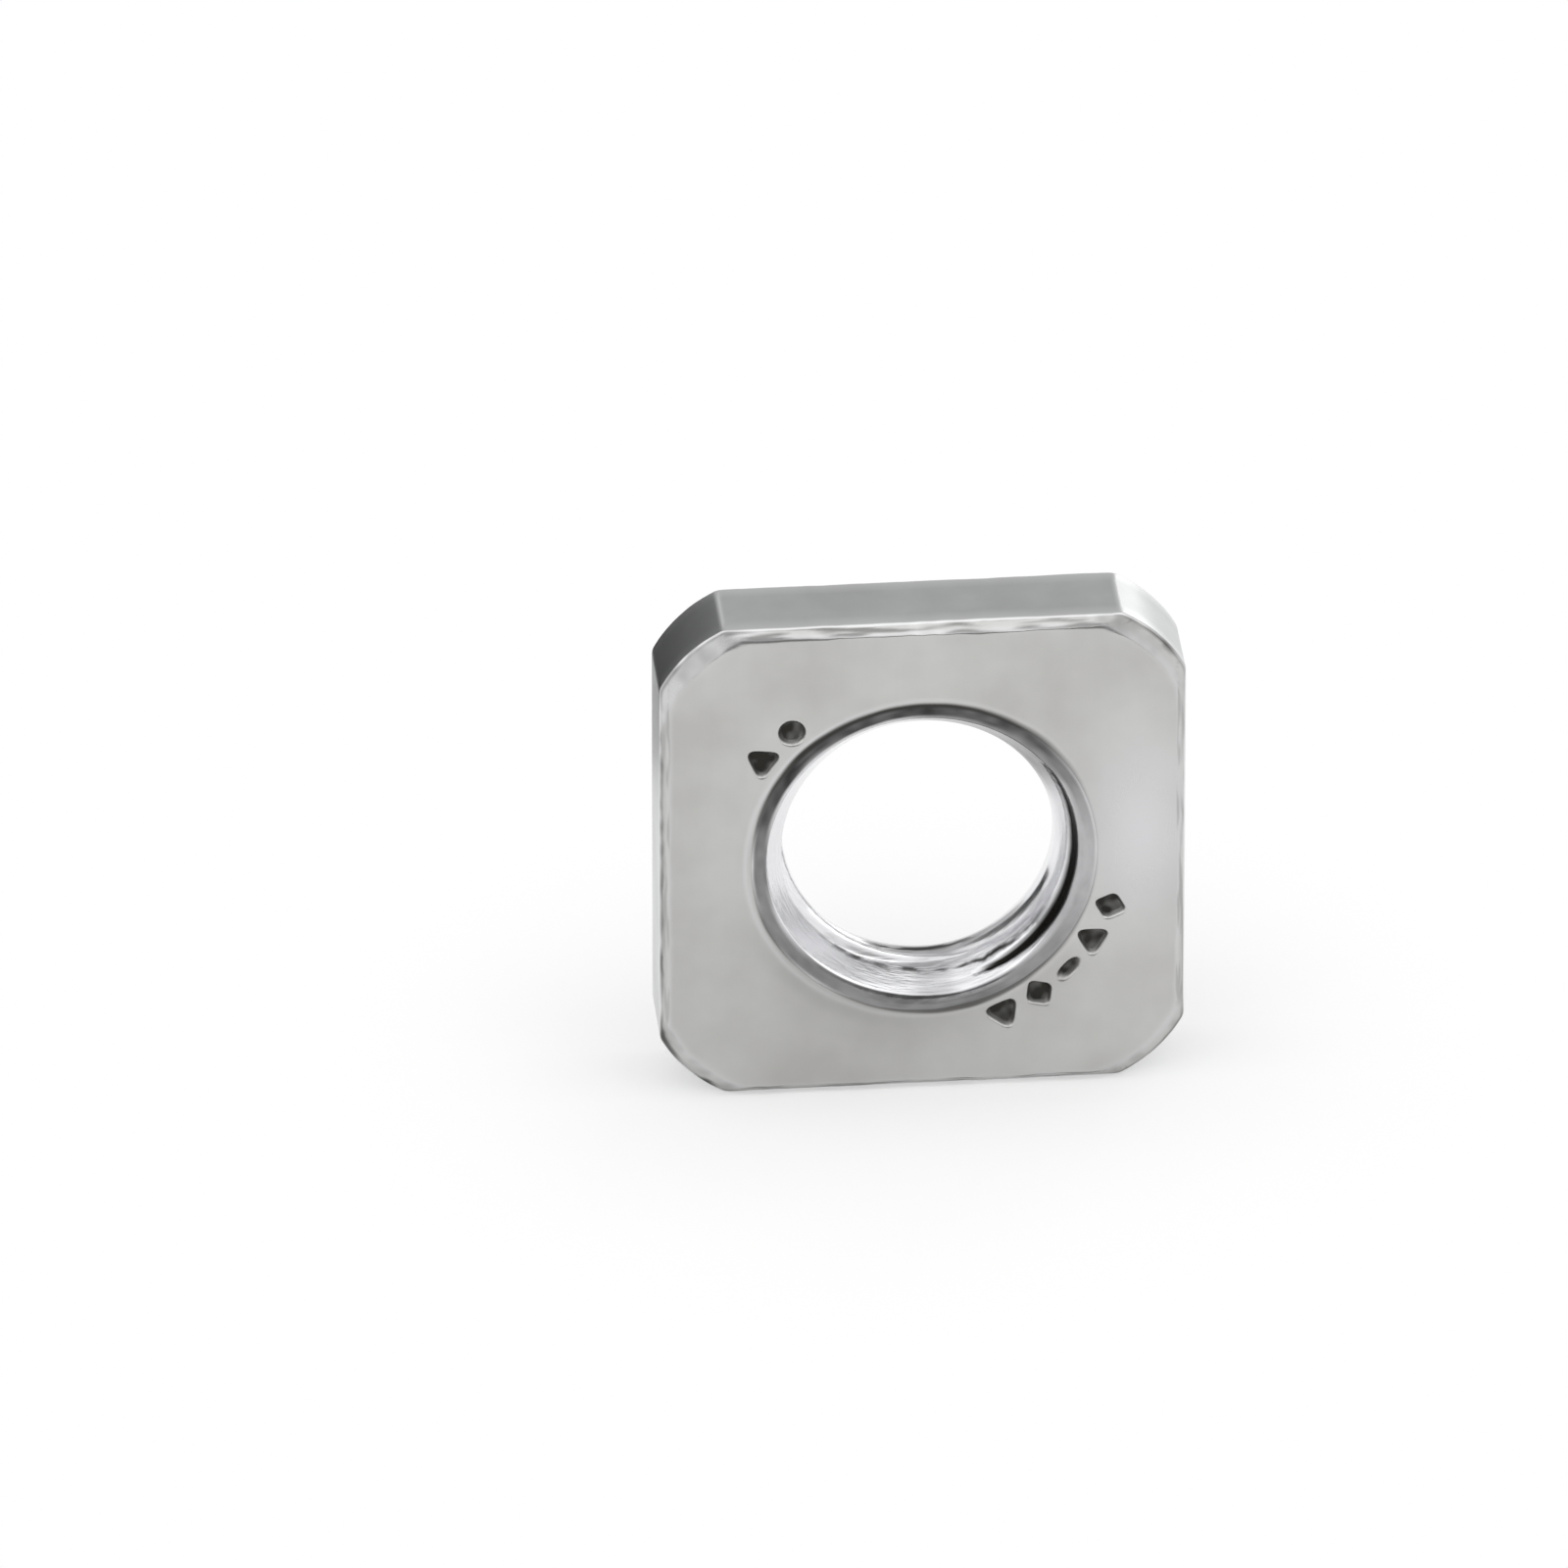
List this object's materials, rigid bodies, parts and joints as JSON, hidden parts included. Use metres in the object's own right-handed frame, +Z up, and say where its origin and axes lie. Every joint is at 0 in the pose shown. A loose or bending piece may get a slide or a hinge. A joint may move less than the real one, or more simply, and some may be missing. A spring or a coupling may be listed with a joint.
{
  "type": "square nut",
  "caption": "Thin square nut with rounded, chamfered corners and a countersunk threaded bore. It takes a metric screw, and its flats keep it from turning.",
  "frame": {"origin": "under the middle of the nut, on the surface that its lower flat stands on", "axes": "+Z up, +X to the right across the flats, +Y from the front face through the thread to the back face"},
  "size_m": [0.013, 0.0026, 0.013],
  "materials": {
    "stainless_steel": "satin, barrel tumbled stainless steel"
  },
  "bodies": {
    "root": {"square_nut": "stainless_steel"}
  },
  "joints": []
}
